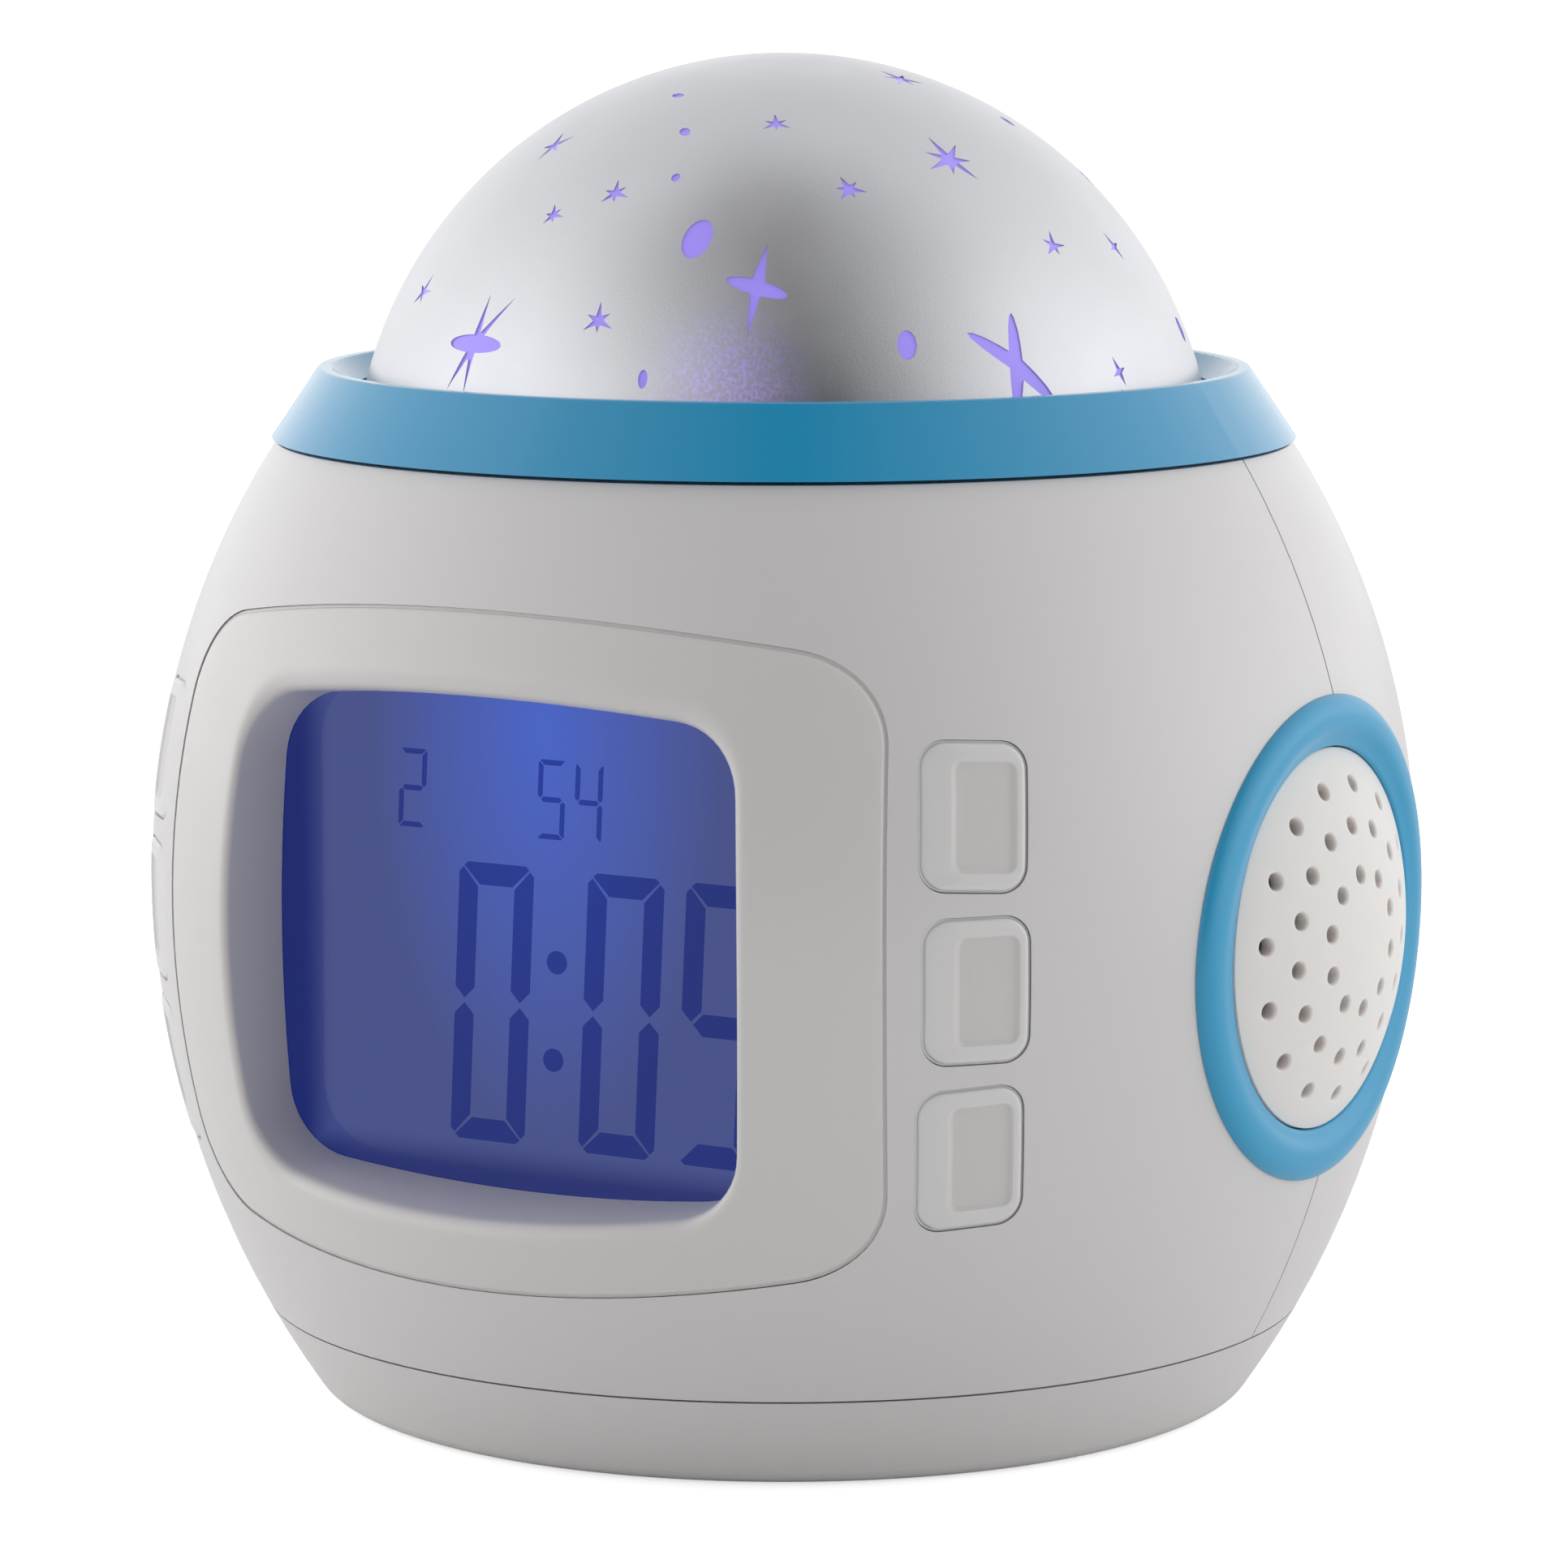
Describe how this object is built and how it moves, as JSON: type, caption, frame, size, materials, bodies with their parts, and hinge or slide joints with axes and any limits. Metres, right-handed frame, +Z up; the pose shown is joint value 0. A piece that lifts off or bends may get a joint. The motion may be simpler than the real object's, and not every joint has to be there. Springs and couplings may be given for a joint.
{
  "type": "star projector alarm clock",
  "caption": "Egg-shaped bedside alarm clock with a deep display window, side keys, drilled side speaker grilles and a silver dome whose star windows project light.",
  "frame": {"origin": "on the table under the middle of the clock's outline; the axis of the housing and dome stands 1.75 mm in front of it", "axes": "+Z up through the dome, -Y out of the display, +X out of the right speaker grille"},
  "size_m": [0.107, 0.1005, 0.1096],
  "materials": {
    "shell": "satin off-white moulded plastic",
    "bezel": "satin cream-white moulded plastic",
    "blue_gloss": "glossy sky-blue moulded plastic",
    "blue_trim": "satin azure moulded plastic",
    "grille": "matt white moulded plastic",
    "silver_coat": "satin silver paint on plastic",
    "star_window": "clear plastic lit violet from inside",
    "lcd_glass": "clear display glass",
    "backlight": "blue-lit light plate",
    "key": "translucent milky plastic",
    "inner_plastic": "plain white moulding",
    "rubber": "contact rubber",
    "circuit_board": "green solder resist",
    "potting": "black",
    "plated_steel": "nickel plate",
    "paper_cone": "black paper",
    "magnet": "dark plate",
    "led_lens": "clear resin",
    "cell_wrap": "plain grey sleeve"
  },
  "bodies": {
    "housing": {"front_shell": "shell", "rear_shell": "shell", "base_cover": "shell", "display_bezel": "bezel", "top_ring": "blue_gloss", "speaker_ring_right": "blue_trim", "speaker_ring_left": "blue_trim", "speaker_grille_right": "grille", "speaker_grille_left": "grille", "star_dome": "silver_coat", "star_windows": "star_window", "lcd_glass": "lcd_glass", "backlight": "backlight", "lcd_frame": "inner_plastic", "zebra_strip": "rubber", "main_pcb": "circuit_board", "button_board_right": "circuit_board", "button_board_left": "circuit_board", "lamp_board": "circuit_board", "controller_chip": "potting", "clock_crystal": "plated_steel", "pcb_screws": "plated_steel", "button_board_screws": "plated_steel", "lamp_screws": "plated_steel", "case_screws": "plated_steel", "tact_switches": "potting", "speaker_frame": "plated_steel", "speaker_cone": "paper_cone", "speaker_magnet": "magnet", "lamp_deck": "inner_plastic", "projector_leds": "led_lens", "aaa_cells": "cell_wrap", "spring_contacts": "plated_steel", "plate_contacts": "plated_steel"},
    "sound_button": {"sound_button": "key"},
    "up_button": {"up_button": "key"},
    "down_button": {"down_button": "key"},
    "mode_button": {"mode_button": "key"},
    "set_button": {"set_button": "key"},
    "light_button": {"light_button": "key"},
    "battery_door": {"battery_door": "shell"}
  },
  "joints": [
    {"name": "sound_press", "type": "slide", "parent": "housing", "child": "sound_button", "axis": [-0.7338, 0.6794, 0], "range_m": [0, 0.0006], "stiffness_N_per_m": 800},
    {"name": "up_press", "type": "slide", "parent": "housing", "child": "up_button", "axis": [-0.7338, 0.6794, 0], "range_m": [0, 0.0006], "stiffness_N_per_m": 800},
    {"name": "down_press", "type": "slide", "parent": "housing", "child": "down_button", "axis": [-0.7338, 0.6794, 0], "range_m": [0, 0.0006], "stiffness_N_per_m": 800},
    {"name": "mode_press", "type": "slide", "parent": "housing", "child": "mode_button", "axis": [0.7338, 0.6794, 0], "range_m": [0, 0.0006], "stiffness_N_per_m": 800},
    {"name": "set_press", "type": "slide", "parent": "housing", "child": "set_button", "axis": [0.7338, 0.6794, 0], "range_m": [0, 0.0006], "stiffness_N_per_m": 800},
    {"name": "light_press", "type": "slide", "parent": "housing", "child": "light_button", "axis": [0.7338, 0.6794, 0], "range_m": [0, 0.0006], "stiffness_N_per_m": 800},
    {"name": "battery_door_swing", "type": "hinge", "parent": "housing", "child": "battery_door", "pos_m": [-0.02345, -0.00175, 0.0015], "axis": [0, 1, 0], "range_deg": [0, 95]}
  ]
}
